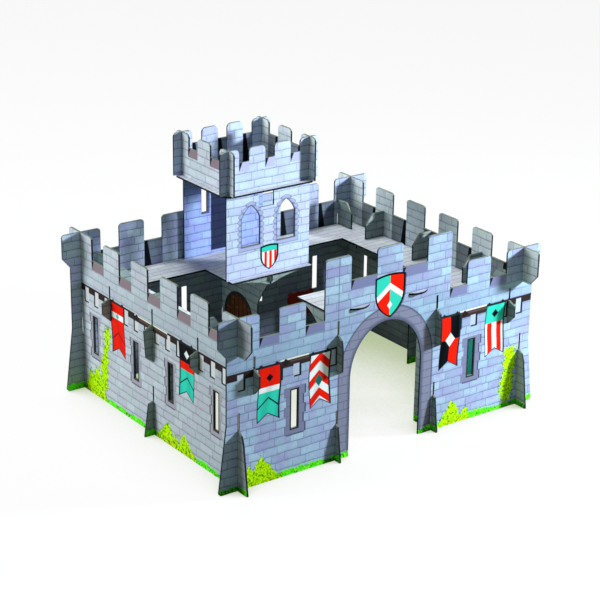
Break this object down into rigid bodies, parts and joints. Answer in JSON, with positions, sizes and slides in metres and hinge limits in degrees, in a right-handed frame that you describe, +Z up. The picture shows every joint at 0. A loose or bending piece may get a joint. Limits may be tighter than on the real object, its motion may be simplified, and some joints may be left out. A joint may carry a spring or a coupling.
{
  "type": "cardboard castle",
  "caption": "Toy castle of printed card that slots together: crenellated curtain walls with a gate arch, wall-walk decks and a tower on a platform.",
  "frame": {"origin": "on the floor, at the centre of the castle's footprint", "axes": "+X along the front wall, +Y from the gate into the castle, +Z up"},
  "size_m": [0.394, 0.3328, 0.2615],
  "materials": {
    "wall_card": "printed, satin",
    "brace_card": "printed, satin",
    "post_card": "printed, satin",
    "deck_card": "printed, satin",
    "tower_card": "printed, satin",
    "parapet_card": "printed, satin"
  },
  "bodies": {
    "root": {"front_wall": "wall_card", "back_wall": "wall_card", "left_wall": "wall_card", "right_wall": "wall_card", "front_left_corbel": "brace_card", "front_right_corbel": "brace_card", "back_left_corbel": "brace_card", "back_right_corbel": "brace_card", "left_front_corbel": "brace_card", "left_back_corbel": "brace_card", "right_front_corbel": "brace_card", "right_back_corbel": "brace_card", "left_gate_brace": "brace_card", "right_gate_brace": "brace_card", "left_wall_brace": "brace_card", "right_wall_brace": "brace_card", "platform_post": "post_card", "platform_gusset": "post_card", "back_deck": "deck_card", "left_deck": "deck_card", "right_deck": "deck_card", "front_deck": "deck_card", "tower_front_panel": "tower_card", "tower_back_panel": "tower_card", "tower_roof_plate": "tower_card", "front_parapet": "parapet_card", "back_parapet": "parapet_card", "left_parapet": "parapet_card", "right_parapet": "parapet_card"}
  },
  "joints": []
}
